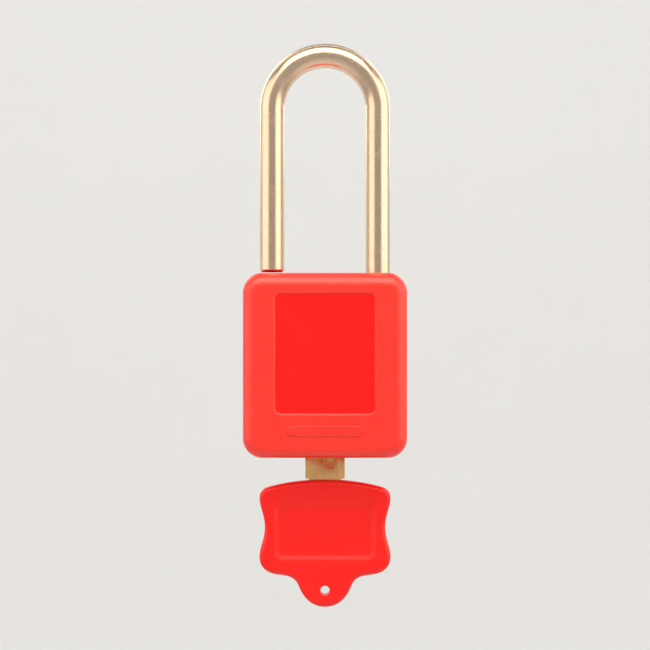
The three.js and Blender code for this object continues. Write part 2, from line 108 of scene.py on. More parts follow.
BODY = span("body_shell")
HALF_WIDTH = BODY[1]
HALF_DEPTH = BODY[3]
HEIGHT = BODY[5]
SHACKLE = span("shackle")
BAR = SHACKLE[3]
LEG_X = SHACKLE[1] - BAR
BOW_CENTRE = SHACKLE[5] - BAR - LEG_X
HEEL_TIP = SHACKLE[4]
TOE_TIP = HEIGHT + GAP
KEY_BOW = span("key_bow")
BOW_TOP = KEY_BOW[5]
BLADE = span("key_blade")
PLUG = span("cylinder_plug")
HOUSING = span("cylinder_housing")
COVER = span("bottom_cover")
SLIDE = span("locking_slide")
CAM = span("tail_cam")
SCREW = span("cylinder_screw")
FOLLOWER = span("heel_follower")
RETAINER = span("shackle_retaining_pin")
CLIP = span("plug_retaining_clip")
STRIP = span("pin_spring_cover")
SPRING = span("shackle_spring")
JOINTS = {joint["name"]: joint for joint in frame["joints"]}
STROKE = -JOINTS["shackle_lift"]["range_m"][0] / MM
PIN_COUNT = sum(1 for node in frame["nodes"] if node.startswith("key_pin_"))
PIN_HEIGHTS = [
    (span(f"key_pin_{i + 1}")[4] + span(f"key_pin_{i + 1}")[5]) / 2 for i in range(PIN_COUNT)
]
LEG_BORE = BAR + GAP
SCREW_HOLE = 1.25
SCREW_X = (SCREW[0] + SCREW[1]) / 2
SCREW_HEAD_LOW = SCREW[5] - 1.6
TOE_BORE_FLOOR = SCREW_HEAD_LOW - GAP
PIN_CHAMBER = 1.3
TOWER_HALF = 2.2
COVER_CORNER = 3


# ------------------------------------------------------------------ mesh building


def made(name, vertices, faces, materials=(), indices=None):
    """A mesh object from drawing millimetres."""
    mesh = bpy.data.meshes.new(name)
    mesh.from_pydata([(x * MM, y * MM, z * MM + BASE) for x, y, z in vertices], [], faces)
    for material in materials:
        mesh.materials.append(material)
    if indices:
        mesh.polygons.foreach_set("material_index", indices)
    mesh.validate()
    mesh.update()
    obj = bpy.data.objects.new(name, mesh)
    bpy.context.scene.collection.objects.link(obj)
    return obj


def smooth(obj, angle=35):
    """Shades a mesh smooth, except across edges sharper than an angle in degrees."""
    mesh = obj.data
    mesh.polygons.foreach_set("use_smooth", [True] * len(mesh.polygons))
    mesh.set_sharp_from_angle(angle=math.radians(angle))
    mesh.update()
    return obj


def settle(obj):
    """Applies every modifier to the mesh."""
    bpy.context.view_layer.update()
    graph = bpy.context.evaluated_depsgraph_get()
    mesh = bpy.data.meshes.new_from_object(obj.evaluated_get(graph))
    obj.modifiers.clear()
    old = obj.data
    obj.data = mesh
    bpy.data.meshes.remove(old)
    return obj


def carve(obj, tools, operation="DIFFERENCE"):
    """Cuts tools out of a mesh, or adds them to it, and removes them."""
    for tool in tools:
        modifier = obj.modifiers.new("cut", "BOOLEAN")
        modifier.operation = operation
        modifier.solver = "EXACT"
        modifier.object = tool
    settle(obj)
    for tool in tools:
        mesh = tool.data
        bpy.data.objects.remove(tool)
        bpy.data.meshes.remove(mesh)
    return obj


def round_edges(obj, width):
    """Rounds the sharp edges of a mesh by a width."""
    modifier = obj.modifiers.new("edges", "BEVEL")
    modifier.width = width * MM
    modifier.segments = 2
    modifier.limit_method = "ANGLE"
    modifier.angle_limit = math.radians(40)
    return settle(obj)


def sliced(obj, step):
    """Cuts the faces of a mesh along a grid, so that smooth shading stays local to one cell."""
    on_plane = 0.001
    shape = bmesh.new()
    shape.from_mesh(obj.data)
    for axis in range(3):
        places = [vertex.co[axis] for vertex in shape.verts]
        low, high = min(places), max(places)
        normal = Vector((0, 0, 0))
        normal[axis] = 1
        count = math.ceil((high - low) / (step * MM))
        for k in range(1, count):
            point = normal * (low + (high - low) * k / count)
            parts = shape.verts[:] + shape.edges[:] + shape.faces[:]
            bmesh.ops.bisect_plane(
                shape, geom=parts, dist=on_plane * MM, plane_co=point, plane_no=normal
            )
    shape.to_mesh(obj.data)
    shape.free()
    return obj


def loft(rings):
    """(vertices, faces) of a skin over rings of equal length, with a cap at each end."""
    count = len(rings[0])
    vertices = [point for ring in rings for point in ring]
    faces = []
    for r in range(len(rings) - 1):
        here, there = r * count, (r + 1) * count
        for i in range(count):
            j = (i + 1) % count
            faces.append((here + i, here + j, there + j, there + i))
    faces.append(tuple(reversed(range(count))))
    faces.append(tuple(range(len(vertices) - count, len(vertices))))
    return vertices, faces


def axis_point(axis, across, up, along):
    """A point given by two coordinates across an axis and one along it."""
    if axis == "X":
        return (along, across, up)
    if axis == "Y":
        return (up, along, across)
    return (across, up, along)


def turned(name, profile, centre=(0, 0), axis="Z", sides=ROUND, materials=()):
    """A solid turned about an axis from (radius, place along the axis) points."""
    rings = []
    for radius, along in profile:
        ring = []
        for i in range(sides):
            angle = 2 * math.pi * i / sides
            across = centre[0] + radius * math.cos(angle)
            up = centre[1] + radius * math.sin(angle)
            ring.append(axis_point(axis, across, up, along))
        rings.append(ring)
    return made(name, *loft(rings), materials)


def rod(radius, low, high, centre=(0, 0), axis="Z", sides=ROUND):
    """A plain round tool along an axis."""
    return turned("tool", [(radius, low), (radius, high)], centre, axis, sides)


def block(x0, x1, y0, y1, z0, z1, name="tool", materials=()):
    """A box between two places on each axis."""
    low = [(x0, y0, z0), (x1, y0, z0), (x1, y1, z0), (x0, y1, z0)]
    high = [(x, y, z1) for x, y, _ in low]
    return made(name, *loft([low, high]), materials)


def arc(centre, radius, start, stop, steps):
    """Points and outward normals along an arc, angles in degrees."""
    found = []
    for i in range(steps + 1):
        angle = math.radians(start + (stop - start) * i / steps)
        normal = (math.cos(angle), math.sin(angle))
        found.append((centre[0] + radius * normal[0], centre[1] + radius * normal[1], *normal))
    return found


def rounded_rectangle(x0, x1, z0, z1, low, high=None):
    """(x, z, normal x, normal z) anticlockwise round a rectangle with low and high corner radii."""
    high = low if high is None else high
    steps, side_steps = 12, 8
    corners = [
        arc((x1 - low, z0 + low), low, -90, 0, steps),
        arc((x1 - high, z1 - high), high, 0, 90, steps),
        arc((x0 + high, z1 - high), high, 90, 180, steps),
        arc((x0 + low, z0 + low), low, 180, 270, steps),
    ]
    points = []
    for i, corner in enumerate(corners):
        points += corner
        start, stop = corner[-1], corners[(i + 1) % 4][0]
        for k in range(1, side_steps):
            share = k / side_steps
            points.append(
                (
                    start[0] + (stop[0] - start[0]) * share,
                    start[1] + (stop[1] - start[1]) * share,
                    start[2],
                    start[3],
                )
            )
    return points


def smoothstep(t):
    """Eases a share from 0 to 1 with a level start and end."""
    return t * t * (3 - 2 * t)


def grown(points, amount):
    """An outline moved outwards along its normals."""
    return [(x + nx * amount, z + nz * amount, nx, nz) for x, z, nx, nz in points]


def edge_rings(points, face, outward, edge, steps):
    """Rings round a rounded edge, from the side wall to a face, and those just inside the face."""
    rings = []
    for k in range(steps + 1):
        turn = math.pi / 2 * k / steps
        along = face - outward * edge * (1 - math.sin(turn))
        ring = grown(points, -edge * (1 - math.cos(turn)))
        rings.append([(a, b, along) for a, b, _, _ in ring])
    for hold in HOLDS:
        rings.append([(a, b, face) for a, b, _, _ in grown(points, -edge - min(hold, edge))])
    return rings


def prism(name, points, low, high, axis="Y", edge=0.0, materials=()):
    """An outline of (a, b, normal a, normal b) points swept along an axis, with rounded edges."""
    edge_steps = 4
    if edge:
        rings = edge_rings(points, low, -1, edge, edge_steps)[::-1]
        rings += edge_rings(points, high, 1, edge, edge_steps)
    else:
        rings = [[(a, b, along) for a, b, _, _ in points] for along in (low, high)]
    turned_rings = []
    for ring in rings:
        if axis == "Y":
            turned_rings.append([(a, along, b) for a, b, along in reversed(ring)])
        else:
            turned_rings.append([(a, b, along) for a, b, along in ring])
    return made(name, *loft(turned_rings), materials)


def wire(name, centres, radius, sides, materials=()):
    """A round wire along a list of points, its section turned with the path."""
    points = [Vector(p) for p in centres]
    rings = []
    normal = None
    for i, point in enumerate(points):
        tangent = (points[min(i + 1, len(points) - 1)] - points[max(i - 1, 0)]).normalized()
        if normal is None:
            normal = tangent.orthogonal().normalized()
        normal = (normal - tangent * normal.dot(tangent)).normalized()
        side = tangent.cross(normal)
        ring = []
        for k in range(sides):
            angle = 2 * math.pi * k / sides
            ring.append(tuple(point + (normal * math.cos(angle) + side * math.sin(angle)) * radius))
        rings.append(ring)
    return made(name, *loft(rings), materials)


# ------------------------------------------------------------------ materials


class Material:
    """A Principled material whose nodes are added by short calls; texture scales are per metre."""

    def __init__(self, name, colour, roughness, metallic=0.0):
        self.made = bpy.data.materials.new(name)
        self.made.use_nodes = True
        self.nodes = self.made.node_tree.nodes
        self.links = self.made.node_tree.links
        self.shader = self.nodes["Principled BSDF"]
        self.colour = (*colour, 1)
        self.shader.inputs["Base Color"].default_value = self.colour
        self.shader.inputs["Roughness"].default_value = roughness
        self.shader.inputs["Metallic"].default_value = metallic
        self.place = self.nodes.new("ShaderNodeTexCoord").outputs["Object"]

    def join(self, output, node, socket):
        self.links.new(output, node.inputs[socket])

    def stretched(self, scale):
        """The place on the piece with each axis scaled."""
        mapping = self.nodes.new("ShaderNodeMapping")
        mapping.inputs["Scale"].default_value = scale
        self.join(self.place, mapping, "Vector")
        return mapping.outputs["Vector"]

    def noise(self, scale, detail, roughness=0.55, place=None):
        node = self.nodes.new("ShaderNodeTexNoise")
        node.inputs["Scale"].default_value = scale
        node.inputs["Detail"].default_value = detail
        node.inputs["Roughness"].default_value = roughness
        self.join(place or self.place, node, "Vector")
        return node.outputs["Fac"]

    def cells(self, scale):
        node = self.nodes.new("ShaderNodeTexVoronoi")
        node.feature = "SMOOTH_F1"
        node.inputs["Scale"].default_value = scale
        self.join(self.place, node, "Vector")
        return node.outputs["Distance"]

    def ranged(self, output, low, high, source_low=0.3, source_high=0.7):
        """Spreads the middle of a texture's values over a range."""
        node = self.nodes.new("ShaderNodeMapRange")
        node.inputs["From Min"].default_value = source_low
        node.inputs["From Max"].default_value = source_high
        node.inputs["To Min"].default_value = low
        node.inputs["To Max"].default_value = high
        self.join(output, node, "Value")
        return node.outputs["Result"]

    def tinted(self, share, other):
        """Mixes the colour so far with another one by share."""
        node = self.nodes.new("ShaderNodeMix")
        node.data_type = "RGBA"
        socket = self.shader.inputs["Base Color"]
        if socket.is_linked:
            self.links.new(socket.links[0].from_socket, node.inputs[6])
        else:
            node.inputs[6].default_value = self.colour
        node.inputs[7].default_value = (*other, 1)
        self.links.new(share, node.inputs[0])
        self.links.new(node.outputs[2], socket)
        return self

    def rough(self, output, low, high):
        self.join(self.ranged(output, low, high), self.shader, "Roughness")
        return self

    def bumped(self, output, depth):
        """Adds relief of a depth in millimetres on top of what is there."""
        node = self.nodes.new("ShaderNodeBump")
        node.inputs["Strength"].default_value = 1
        node.inputs["Distance"].default_value = depth * MM
        self.join(output, node, "Height")
        socket = self.shader.inputs["Normal"]
        if socket.is_linked:
            self.links.new(socket.links[0].from_socket, node.inputs["Normal"])
        self.links.new(node.outputs["Normal"], socket)
        return self

    def edges(self, other):
        """Lightens what sticks out: a painted highlight along the edges, partly handling wear."""
        point = self.nodes.new("ShaderNodeNewGeometry").outputs["Pointiness"]
        return self.tinted(self.ranged(point, 0, 0.6, 0.52, 0.62), other)

    def set(self, **sockets):
        for name, value in sockets.items():
            self.shader.inputs[name.replace("_", " ")].default_value = value
        return self


RED_LIGHT = (0.97, 0.050, 0.028)
RED_DEEP = (0.74, 0.006, 0.004)


def nylon(name, colour, roughness, specular, drift, grain=0.0, relief=0.0):
    """Moulded nylon: colour drift, uneven gloss and, where it has one, a spark-eroded grain.

    drift is the share of the deeper and lighter reds, grain the scale of the eroded surface and
    relief its depth in millimetres.
    """
    made_of = Material(name, colour, roughness)
    made_of.tinted(made_of.ranged(made_of.noise(70, 2), 0, drift), RED_DEEP)
    made_of.rough(made_of.noise(160, 2), roughness - 0.03, roughness + 0.04)
    if grain:
        pits = made_of.noise(grain, 2, 0.6)
        made_of.tinted(made_of.ranged(pits, 0, drift * 0.7, 0.5, 0.7), RED_LIGHT)
        made_of.bumped(pits, relief)
        made_of.bumped(made_of.cells(grain * 0.45), relief * 0.8)
    return made_of.set(Specular_IOR_Level=specular).made


def plated(name, colour, roughness):
    """Bright plating over drawn bar: wipe marks, faint waviness and a little tarnish."""
    made_of = Material(name, colour, roughness, 1.0)
    wipes = made_of.noise(340, 4, 0.55)
    made_of.tinted(made_of.ranged(made_of.noise(120, 4), 0, 0.3), tuple(c * 0.84 for c in colour))
    made_of.rough(wipes, roughness - 0.04, roughness + 0.06)
    made_of.bumped(wipes, 0.003)
    made_of.bumped(made_of.noise(60, 2), 0.012)
    return made_of.made


def machined(name, colour, roughness, along=(1, 1, 1), grain=1500):
    """Turned, milled or drawn metal with tool marks, a little tarnish and lighter edges, a painted
    highlight that is partly wear.

    along stretches the marks: a small share makes them long on that axis. Finer marks are
    shallower.
    """
    relief = 12 / grain
    made_of = Material(name, colour, roughness, 1.0)
    marks = made_of.noise(grain, 2, 0.5, made_of.stretched(along))
    made_of.tinted(made_of.ranged(made_of.noise(180, 3), 0, 0.3), tuple(c * 0.7 for c in colour))
    made_of.tinted(made_of.ranged(marks, 0, 0.08), tuple(c * 0.6 for c in colour))
    # Lighter at sharp edges: a painted highlight along them, partly handling wear.
    made_of.edges(tuple(min(1, c * 1.15) for c in colour))
    made_of.rough(marks, roughness - 0.06, roughness + 0.1)
    made_of.bumped(marks, relief)
    return made_of.made


TEXTURED = nylon("nylon_textured", (0.93, 0.021, 0.007), 0.33, 0.8, 0.25, 3200, 0.05)
PANEL = nylon("nylon_panel", (0.93, 0.006, 0.003), 0.34, 0.32, 0.04)
COVER_RED = nylon("nylon_cover", (0.90, 0.018, 0.010), 0.45, 0.5, 0.25, 3200, 0.04)
KEY_RED = nylon("nylon_key", (0.92, 0.006, 0.003), 0.32, 0.5, 0.06)
CHROME = plated("plated_shackle", (0.78, 0.59, 0.43), 0.24)
# Brass tone pushed towards orange-red: partly the brass itself, partly a painted reflection of the
# red body and bow.
KEY_METAL_AND_RED_REFLECTION = machined("key_metal", (0.98, 0.54, 0.23), 0.27, (1, 1, 0.03), 7000)
PLUG_BRASS = machined("plug_brass", (0.78, 0.57, 0.27), 0.30, (1, 1, 0.3))
BRASS = machined("cylinder_brass", (0.76, 0.54, 0.24), 0.32)
STEEL = machined("spring_steel", (0.56, 0.56, 0.57), 0.30)
PLATE_STEEL = machined("slide_steel", (0.50, 0.50, 0.50), 0.38)
DRIVER_STEEL = machined("driver_steel", (0.62, 0.62, 0.62), 0.26)
ZINC = plated("screw_zinc", (0.68, 0.68, 0.66), 0.24)


def finished(obj, body, slot, *nodes, angle=35):
    """Shades a piece, puts it on its body and lets it stand for its CAD nodes."""
    smooth(obj, angle)
    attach(obj, body)
    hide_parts(*nodes)
    return obj


# ------------------------------------------------------------------ body


SNAP_CORNERS = [(x, y) for x in (-9.5, 9.5) for y in (-1, 1)]
SNAP_HALF_WIDTH = 1.2
SNAP_LEG = (4.5, 5.9)
SNAP_HOOK = (5, 6.5)
SNAP_HOOK_LOW = 6.4


def snap_blocks(leg_low, room=0):
    """The cover's four snap legs with their hooks or, with some room, their pockets in the body."""
    blocks = []
    half = SNAP_HALF_WIDTH + room
    for x, side in SNAP_CORNERS:
        for reach, low in ((SNAP_LEG, leg_low), (SNAP_HOOK, SNAP_HOOK_LOW - room)):
            near, far = sorted((side * (reach[0] - room), side * (reach[1] + room)))
            blocks.append(block(x - half, x + half, near, far, low, COVER[5] + room))
    return blocks


def body_skin():
    """The body's skin with its rounded edges and a recessed label panel front and back."""
    bottom_corner, top_corner = 4.8, 4.7
    top_edge, side_edge, bottom_edge = 3.5, 3, 2.4
    fillet_steps, side_rings = 10, 4
    panel_half, panel_height, panel_corner, recess = 12.2, 29.3, 1.6, 0.35
    panel_top = HEIGHT - 5
    step_width, step_steps = 0.55, 6
    outline = rounded_rectangle(-HALF_WIDTH, HALF_WIDTH, 0, HEIGHT, bottom_corner, top_corner)
    panel = rounded_rectangle(
        -panel_half, panel_half, panel_top - panel_height, panel_top, panel_corner
    )

    def edge_radius(nx, nz):
        return side_edge * nx * nx + (top_edge if nz > 0 else bottom_edge) * nz * nz

    half = []
    for k in range(side_rings):
        half.append([(x, k * (HALF_DEPTH - top_edge) / side_rings, z) for x, z, _, _ in outline])
    for k in range(fillet_steps + 1):
        turn = math.pi / 2 * k / fillet_steps
        ring = []
        for x, z, nx, nz in outline:
            radius = edge_radius(nx, nz)
            inset = radius * (1 - math.cos(turn))
            depth = HALF_DEPTH - radius * (1 - math.sin(turn))
            ring.append((x - nx * inset, depth, z - nz * inset))
        half.append(ring)
    for hold in HOLDS:
        ring = []
        for x, z, nx, nz in outline:
            inset = edge_radius(nx, nz) + hold
            ring.append((x - nx * inset, HALF_DEPTH, z - nz * inset))
        half.append(ring)
    for hold in reversed(HOLDS):
        half.append([(x, HALF_DEPTH, z) for x, z, _, _ in grown(panel, step_width / 2 + hold)])
    for k in range(step_steps + 1):
        share = k / step_steps
        ring = grown(panel, step_width * (0.5 - share))
        depth = HALF_DEPTH - recess * smoothstep(share)
        half.append([(x, depth, z) for x, z, _, _ in ring])
    for hold in HOLDS:
        ring = grown(panel, -step_width / 2 - hold)
        half.append([(x, HALF_DEPTH - recess, z) for x, z, _, _ in ring])
    mirrored = [[(x, -y, z) for x, y, z in ring] for ring in half[1:]]
    rings = half[::-1] + mirrored
    vertices, faces = loft(rings)
    panel_rings = step_steps // 2 + len(HOLDS)
    indices = []
    for face in faces:
        ring = min(face) // len(outline)
        on_panel = ring < panel_rings or ring >= len(rings) - 1 - panel_rings
        indices.append(1 if on_panel or len(face) > 4 else 0)
    return made("body_shell_fine", vertices, faces, (TEXTURED, PANEL), indices)


def body_rooms():
    """Everything that is cut out of the body."""
    lead = 0.45
    tongue_room, tongue_side = -13.3, 1.2
    retainer_radius = (RETAINER[3] - RETAINER[2]) / 2
    retainer_height = (RETAINER[4] + RETAINER[5]) / 2
    tools = []
    for x, floor in ((LEG_X, SPRING[4] - GAP), (-LEG_X, TOE_BORE_FLOOR)):
        profile = [
            (LEG_BORE, floor),
            (LEG_BORE, HEIGHT - lead),
            (LEG_BORE + lead, HEIGHT),
            (LEG_BORE + lead + 1, HEIGHT + 1),
        ]
        tools.append(turned("tool", profile, (x, 0)))
    seat = rounded_rectangle(
        COVER[0] - GAP, COVER[1] + GAP, COVER[2] - GAP, COVER[3] + GAP, COVER_CORNER + GAP
    )
    tower = TOWER_HALF + GAP
    tools.append(prism("tool", seat, -1, HOUSING[4], axis="Z"))
    tools.append(rod(HOUSING[3] + GAP, 0, SLIDE[5] + GAP))
    tools.append(block(HOUSING[0] - GAP, 0, -tower, tower, 0, HOUSING[5] + GAP))
    slide_room = (tongue_room, 0, tongue_side, SLIDE[3] + GAP, SLIDE[4] - GAP, SLIDE[5] + GAP)
    tools.append(block(*slide_room))
    tools.append(rod(retainer_radius + GAP, 0, LEG_X, (0, retainer_height), "X", SMALL_ROUND))
    screw_room = (HOUSING[5], TOE_BORE_FLOOR + 1)
    tools.append(rod(SCREW_HOLE, *screw_room, (SCREW_X, 0), sides=SMALL_ROUND))
    return tools + snap_blocks(0, GAP)


def body():
    bar_half_width, bar_low, bar_high, bar_edge = 9.3, 5.3, 7.9, 0.18
    shell = carve(body_skin(), body_rooms())
    bar_outline = rounded_rectangle(
        -bar_half_width, bar_half_width, bar_low, bar_high, (bar_high - bar_low) / 2
    )
    bar = prism("tool", bar_outline, BODY[2], -HALF_DEPTH + 1, edge=bar_edge)
    carve(shell, [bar], "UNION")
    sliced(shell, 1.7)
    return finished(shell, "case", "red_nylon_body", "body_shell")


body()


def cover():
    thickness, edge, lead = 2, 0.25, 0.3
    outline = rounded_rectangle(*COVER[:4], COVER_CORNER)
    plate = prism(
        "bottom_cover_fine", outline, 0, thickness, axis="Z", edge=edge, materials=(COVER_RED,)
    )
    carve(plate, snap_blocks(thickness - 0.5), "UNION")
    hole = PLUG[3] + GAP
    profile = [(hole + lead + 1, -1), (hole + lead, 0), (hole, lead), (hole, thickness + 1)]
    carve(plate, [turned("tool", profile)])
    return finished(plate, "case", "red_nylon_cover", "bottom_cover")


cover()


# ------------------------------------------------------------------ shackle and what holds it


def shackle():
    """The bent bar: toe leg, bow, and heel leg with the neck that the retaining pin runs in."""
    sides, bow_steps = 48, 64
    chamfer, slot_floor, slot_low, slot_height = 0.6, 1.2, TOE_TIP + 2, 3
    neck, neck_low = 1.8, HEEL_TIP + 2
    neck_high = RETAINER[5] + GAP + STROKE
    toe = [
        (TOE_TIP, BAR - chamfer),
        (TOE_TIP + 0.15, BAR - chamfer + 0.32),
        (TOE_TIP + chamfer, BAR),
        (TOE_TIP + chamfer + HOLDS[0], BAR),
        (BOW_CENTRE - 10, BAR),
    ]
    path = [((-LEG_X, z), (0, 1), radius) for z, radius in toe]
    for i in range(bow_steps + 1):
        angle = math.pi * i / bow_steps
        place = (-LEG_X * math.cos(angle), BOW_CENTRE + LEG_X * math.sin(angle))
        path.append((place, (math.sin(angle), math.cos(angle)), BAR))
    heel = [
        (BOW_CENTRE - 20, BAR),
        (neck_high + 1.1, BAR),
        (neck_high + 0.9, BAR - 0.2),
        (neck_high + 0.3, neck + 0.15),
        (neck_high, neck),
        (neck_low + 0.5, neck),
        (neck_low + 0.1, neck + 0.2),
        (neck_low, BAR - 0.2),
        (neck_low - 0.2, BAR),
        (HEEL_TIP + 0.4, BAR),
        (HEEL_TIP, BAR - 0.4),
    ]
    path += [((LEG_X, z), (0, -1), radius) for z, radius in heel]
    rings = []
    for (x, z), (tx, tz), radius in path:
        ring = []
        for k in range(sides):
            angle = 2 * math.pi * k / sides
            across = radius * math.cos(angle)
            ring.append((x + tz * across, -radius * math.sin(angle), z - tx * across))
        rings.append(ring)
    bar = made("shackle_fine", *loft(rings), (CHROME,))
    outside = BAR + 1
    slot = (-LEG_X - outside, -LEG_X + outside, slot_floor, outside)
    carve(bar, [block(*slot, slot_low, slot_low + slot_height)])
    return finished(bar, "shackle", "plated_shackle", "shackle")


shackle()


def coil(name, radius, wire_radius, low, high, turns, centre, axis, material):
    """A compression spring whose end turns close up."""
    per_turn, wire_sides, closing = 20, 10, 0.55
    steps = round(turns * per_turn)
    points = []
    for i in range(steps + 1):
        share = i / steps
        rise = share - closing * math.sin(2 * math.pi * share) / (2 * math.pi)
        angle = 2 * math.pi * turns * share
        along = low + (high - low) * rise
        across = centre[0] + radius * math.cos(angle)
        up = centre[1] + radius * math.sin(angle)
        points.append(axis_point(axis, across, up, along))
    return wire(name, points, wire_radius, wire_sides, (material,))


def heel_follower():
    _, _, _, radius, low, high = FOLLOWER
    boss, boss_length, lead = 1.7, 2.3, 0.2
    profile = [
        (boss - lead, low),
        (boss, low + lead),
        (boss, low + boss_length),
        (radius - lead, low + boss_length),
        (radius, low + boss_length + lead),
        (radius, high - lead),
        (radius - lead, high),
    ]
    cap = turned("heel_follower_fine", profile, (LEG_X, 0), materials=(STEEL,))
    return finished(cap, "heel_follower", "spring_steel", "heel_follower")


heel_follower()


def shackle_spring():
    wire_radius, coil_radius, turns = 0.3, 2.35, 6.5
    ends = (SPRING[4] + wire_radius, SPRING[5] - wire_radius)
    spring = coil(
        "shackle_spring_fine", coil_radius, wire_radius, *ends, turns, (LEG_X, 0), "Z", STEEL
    )
    finished(spring, "case", "spring_steel", "shackle_spring", angle=60)
    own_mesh(spring)


shackle_spring()


def retaining_pin():
    radius, lead = (RETAINER[3] - RETAINER[2]) / 2, 0.2
    profile = [
        (radius - lead, RETAINER[0]),
        (radius, RETAINER[0] + lead),
        (radius, RETAINER[1] - lead),
        (radius - lead, RETAINER[1]),
    ]
    centre = (0, (RETAINER[4] + RETAINER[5]) / 2)
    pin = turned("shackle_retaining_pin_fine", profile, centre, "X", SMALL_ROUND, (STEEL,))
    return finished(pin, "case", "spring_steel", "shackle_retaining_pin")


retaining_pin()


# ------------------------------------------------------------------ key


# The right half of the bow's outline from its top centre to its foot, down from BOW_TOP: each row
# is a Bezier curve's two handles and its end.
BOW_HALF = [
    [5, 0, 9.5, -0.6, 13.6, -1.7],
    [15.3, -2.1, 16.1, -2.9, 16.1, -4.4],
    [16.1, -6.8, 14.8, -8.6, 14.8, -11.6],
    [14.8, -14.6, 16.1, -16.4, 16.1, -18.9],
    [16.1, -21.6, 14.2, -23, 11.4, -23.3],
    [9.2, -23.5, 7.4, -23.9, 6.6, -25.8],
    [5.6, -28.4, 3.8, -31.2, 0, -31.2],
]


def bezier(start, curve, share):
    """The point at a share of a curve from start."""
    (ax, az, bx, bz, ex, ez), rest = curve, 1 - share
    weights = (rest**3, 3 * rest**2 * share, 3 * rest * share**2, share**3)
    xs = (start[0], ax, bx, ex)
    zs = (start[1], az, bz, ez)
    return (
        sum(w * v for w, v in zip(weights, xs)),
        sum(w * v for w, v in zip(weights, zs)),
    )


def with_normals(points):
    """Adds outward normals to an anticlockwise outline."""
    found = []
    for i, (x, z) in enumerate(points):
        before, after = points[i - 1], points[(i + 1) % len(points)]
        dx, dz = after[0] - before[0], after[1] - before[1]
        size = math.hypot(dx, dz)
        found.append((x, z, dz / size, -dx / size))
    return found


def along_rays(points, centre, shape):
    """The points of a rounded rectangle that lie on the rays from a centre through other points."""
    x0, x1, z0, z1, radius = shape
    halvings = 40
    found = []
    for x, z, _, _ in points:
        dx, dz = x - centre[0], z - centre[1]
        size = math.hypot(dx, dz)
        dx, dz = dx / size, dz / size
        low, high = 0.0, 2 * (x1 - x0) + z1 - z0
        for _ in range(halvings):
            reach = (low + high) / 2
            px, pz = centre[0] + dx * reach, centre[1] + dz * reach
            nearest_x = min(max(px, x0 + radius), x1 - radius)
            nearest_z = min(max(pz, z0 + radius), z1 - radius)
            inside = math.hypot(px - nearest_x, pz - nearest_z) <= radius
            low, high = (reach, high) if inside else (low, reach)
        found.append((centre[0] + dx * low, centre[1] + dz * low))
    return found


TANG_HALF_WIDTH = 3.9


def bow_outline():
    steps = 20
    half, start = [], (0, 0)
    for curve in BOW_HALF:
        half += [bezier(start, curve, k / steps) for k in range(steps)]
        start = (curve[4], curve[5])
    half.append(start)
    left = [(-x, z) for x, z in half[1:-1]]
    return with_normals([(x, z + BOW_TOP) for x, z in left + half[::-1]])


def key_bow():
    """The moulded bow: a recess on each side, a hanging hole and the slot for the blade's tang."""
    outline = bow_outline()
    face, edge, edge_steps, depth = KEY_BOW[3], 1.2, 8, 0.6
    mouth = (-12.8, 12.8, BOW_TOP - 20.1, BOW_TOP - 4.1, 2.0)
    floor = (-11.0, 11.0, BOW_TOP - 18.0, BOW_TOP - 7.6, 0.8)
    centre = (0, BOW_TOP - 11.5)
    slope_steps, before, after = 8, [-0.12, -0.05], [1.06, 1.2]
    rings = edge_rings(outline, face, 1, edge, edge_steps)
    for share in before + [k / slope_steps for k in range(slope_steps + 1)] + after:
        size = [m + (f - m) * share for m, f in zip(mouth, floor)]
        sink = depth * smoothstep(min(max(share, 0), 1))
        rings.append([(x, z, face - sink) for x, z in along_rays(outline, centre, size)])
    front = [[(x, -y, z) for x, z, y in ring] for ring in rings]
    back = [[(x, y, z) for x, z, y in ring] for ring in rings]
    bow = made("key_bow_fine", *loft(back[::-1] + front), (KEY_RED,))
    hole_height, hole, lead, hole_sides = BOW_TOP - 27.1, 1.15, 0.35, 40
    profile = [
        (hole + lead + 1, -face - 1),
        (hole + lead, -face),
        (hole, -face + lead),
        (hole, face - lead),
        (hole + lead, face),
        (hole + lead + 1, face + 1),
    ]
    tang, room, tang_low = TANG_HALF_WIDTH + GAP, BLADE[3] + GAP, BOW_TOP - 12.8
    tools = [
        turned("tool", profile, (hole_height, 0), "Y", hole_sides),
        block(-tang, tang, -room, room, tang_low, BOW_TOP + 1),
    ]
    carve(bow, tools)
    sliced(bow, 1.9)
    return finished(bow, "key", "red_nylon_key", "key_bow")


key_bow()


def blade_outline():
    """(x, z) anticlockwise round the tang, the neck and the blade with its six cuts."""
    spine, crest, tip, neck = -4.3, 3.3, BLADE[5], BLADE[1]
    shoulder, flat, below_pin = -0.4, 0.8, 0.25
    tang, neck_low = TANG_HALF_WIDTH, BOW_TOP + GAP
    points = [(-tang, BLADE[4]), (tang, BLADE[4]), (tang, neck_low), (neck, neck_low)]
    points += [(neck, shoulder), (crest, shoulder), (crest, PIN_HEIGHTS[0] - 2 * flat)]
    for i, z in enumerate(PIN_HEIGHTS):
        floor = span(f"key_pin_{i + 1}")[0] - below_pin
        points += [(floor, z - flat), (floor, z + flat)]
    points += [(spine + 1, tip), (spine, tip - 2), (spine, shoulder), (-neck, shoulder)]
    return points + [(-neck, neck_low), (-tang, neck_low)]


def blade_groove():
    """The milled groove as a tool, with the cutter's round run-out on the neck."""
    cutter, run_out, steps = 6.0, -3.2, 8
    left, right, depth = 0.4, 2.2, 0.55
    face, top = -BLADE[3], BLADE[5] + 1
    reach = math.acos(1 - depth / cutter)
    drop = cutter * math.sin(reach)
    rings = []
    for x in (left, right):
        ring = [(x, face - 1, top), (x, face + depth, top)]
        for k in range(steps + 1):
            angle = reach * k / steps
            y = face + depth - cutter * (1 - math.cos(angle))
            ring.append((x, y, run_out + drop - cutter * math.sin(angle)))
        ring.append((x, face - 1, run_out - 0.5))
        rings.append(ring)
    return made("tool", *loft(rings[::-1]))


